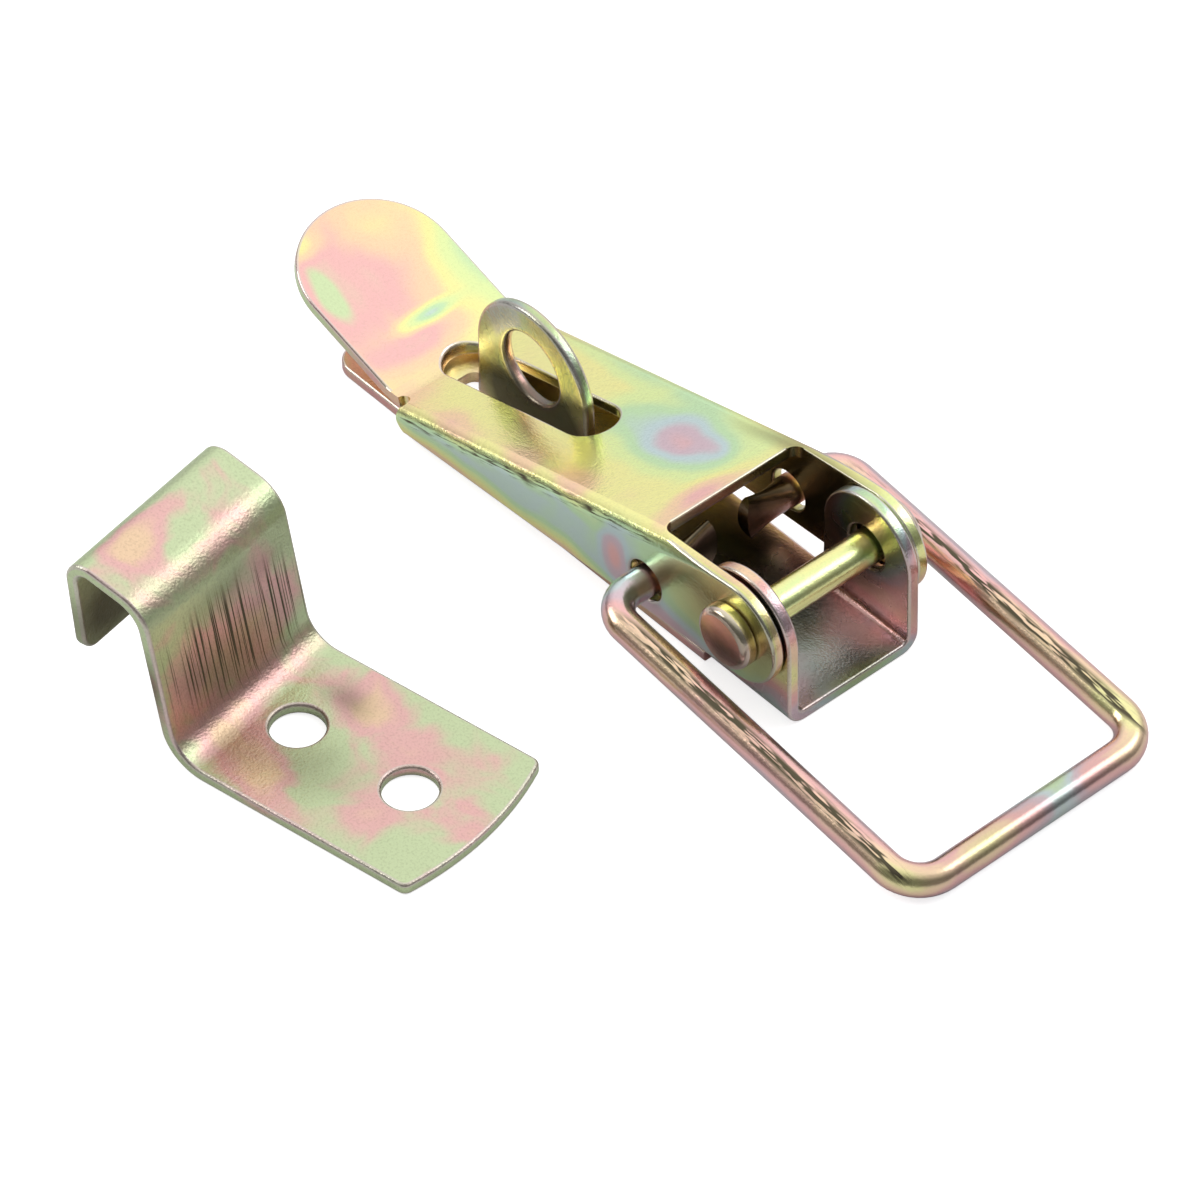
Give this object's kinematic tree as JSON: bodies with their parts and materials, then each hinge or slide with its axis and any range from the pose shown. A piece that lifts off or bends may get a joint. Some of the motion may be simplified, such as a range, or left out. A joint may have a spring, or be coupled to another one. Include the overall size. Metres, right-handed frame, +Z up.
{
  "type": "over centre toggle latch",
  "caption": "Over centre toggle latch with a slotted folded lever, a rectangular wire bail, a padlock eye on the base and a separate hooked catch plate.",
  "frame": {"origin": "on the underside of the base plate, straight below the pivot pin's axis, halfway across the latch", "axes": "+X forward from the thumb tab to the wire bail, +Y across the latch away from the catch plate, +Z up from the mounting surface"},
  "size_m": [0.1255, 0.0884, 0.0247],
  "materials": {
    "zinc_sheet": "iridescent yellow zinc plating, glossy",
    "zinc_pin": "iridescent yellow zinc plating, glossy",
    "zinc_wire": "iridescent yellow zinc plating, glossy, drawn wire",
    "zinc_catch": "iridescent yellow zinc plating, satin"
  },
  "bodies": {
    "base": {"base_plate": "zinc_sheet", "catch_plate": "zinc_catch"},
    "lever": {"lever": "zinc_sheet", "pivot_pin": "zinc_pin"},
    "bail": {"wire_bail": "zinc_wire"}
  },
  "joints": [
    {"name": "lever_pivot", "type": "hinge", "parent": "base", "child": "lever", "pos_m": [0, 0, 0.0116], "axis": [0, 1, 0], "range_deg": [0, 140]},
    {"name": "bail_pivot", "type": "hinge", "parent": "lever", "child": "bail", "pos_m": [-0.0153, 0, 0.0084], "axis": [0, 1, 0], "range_deg": [-180, 0]}
  ]
}
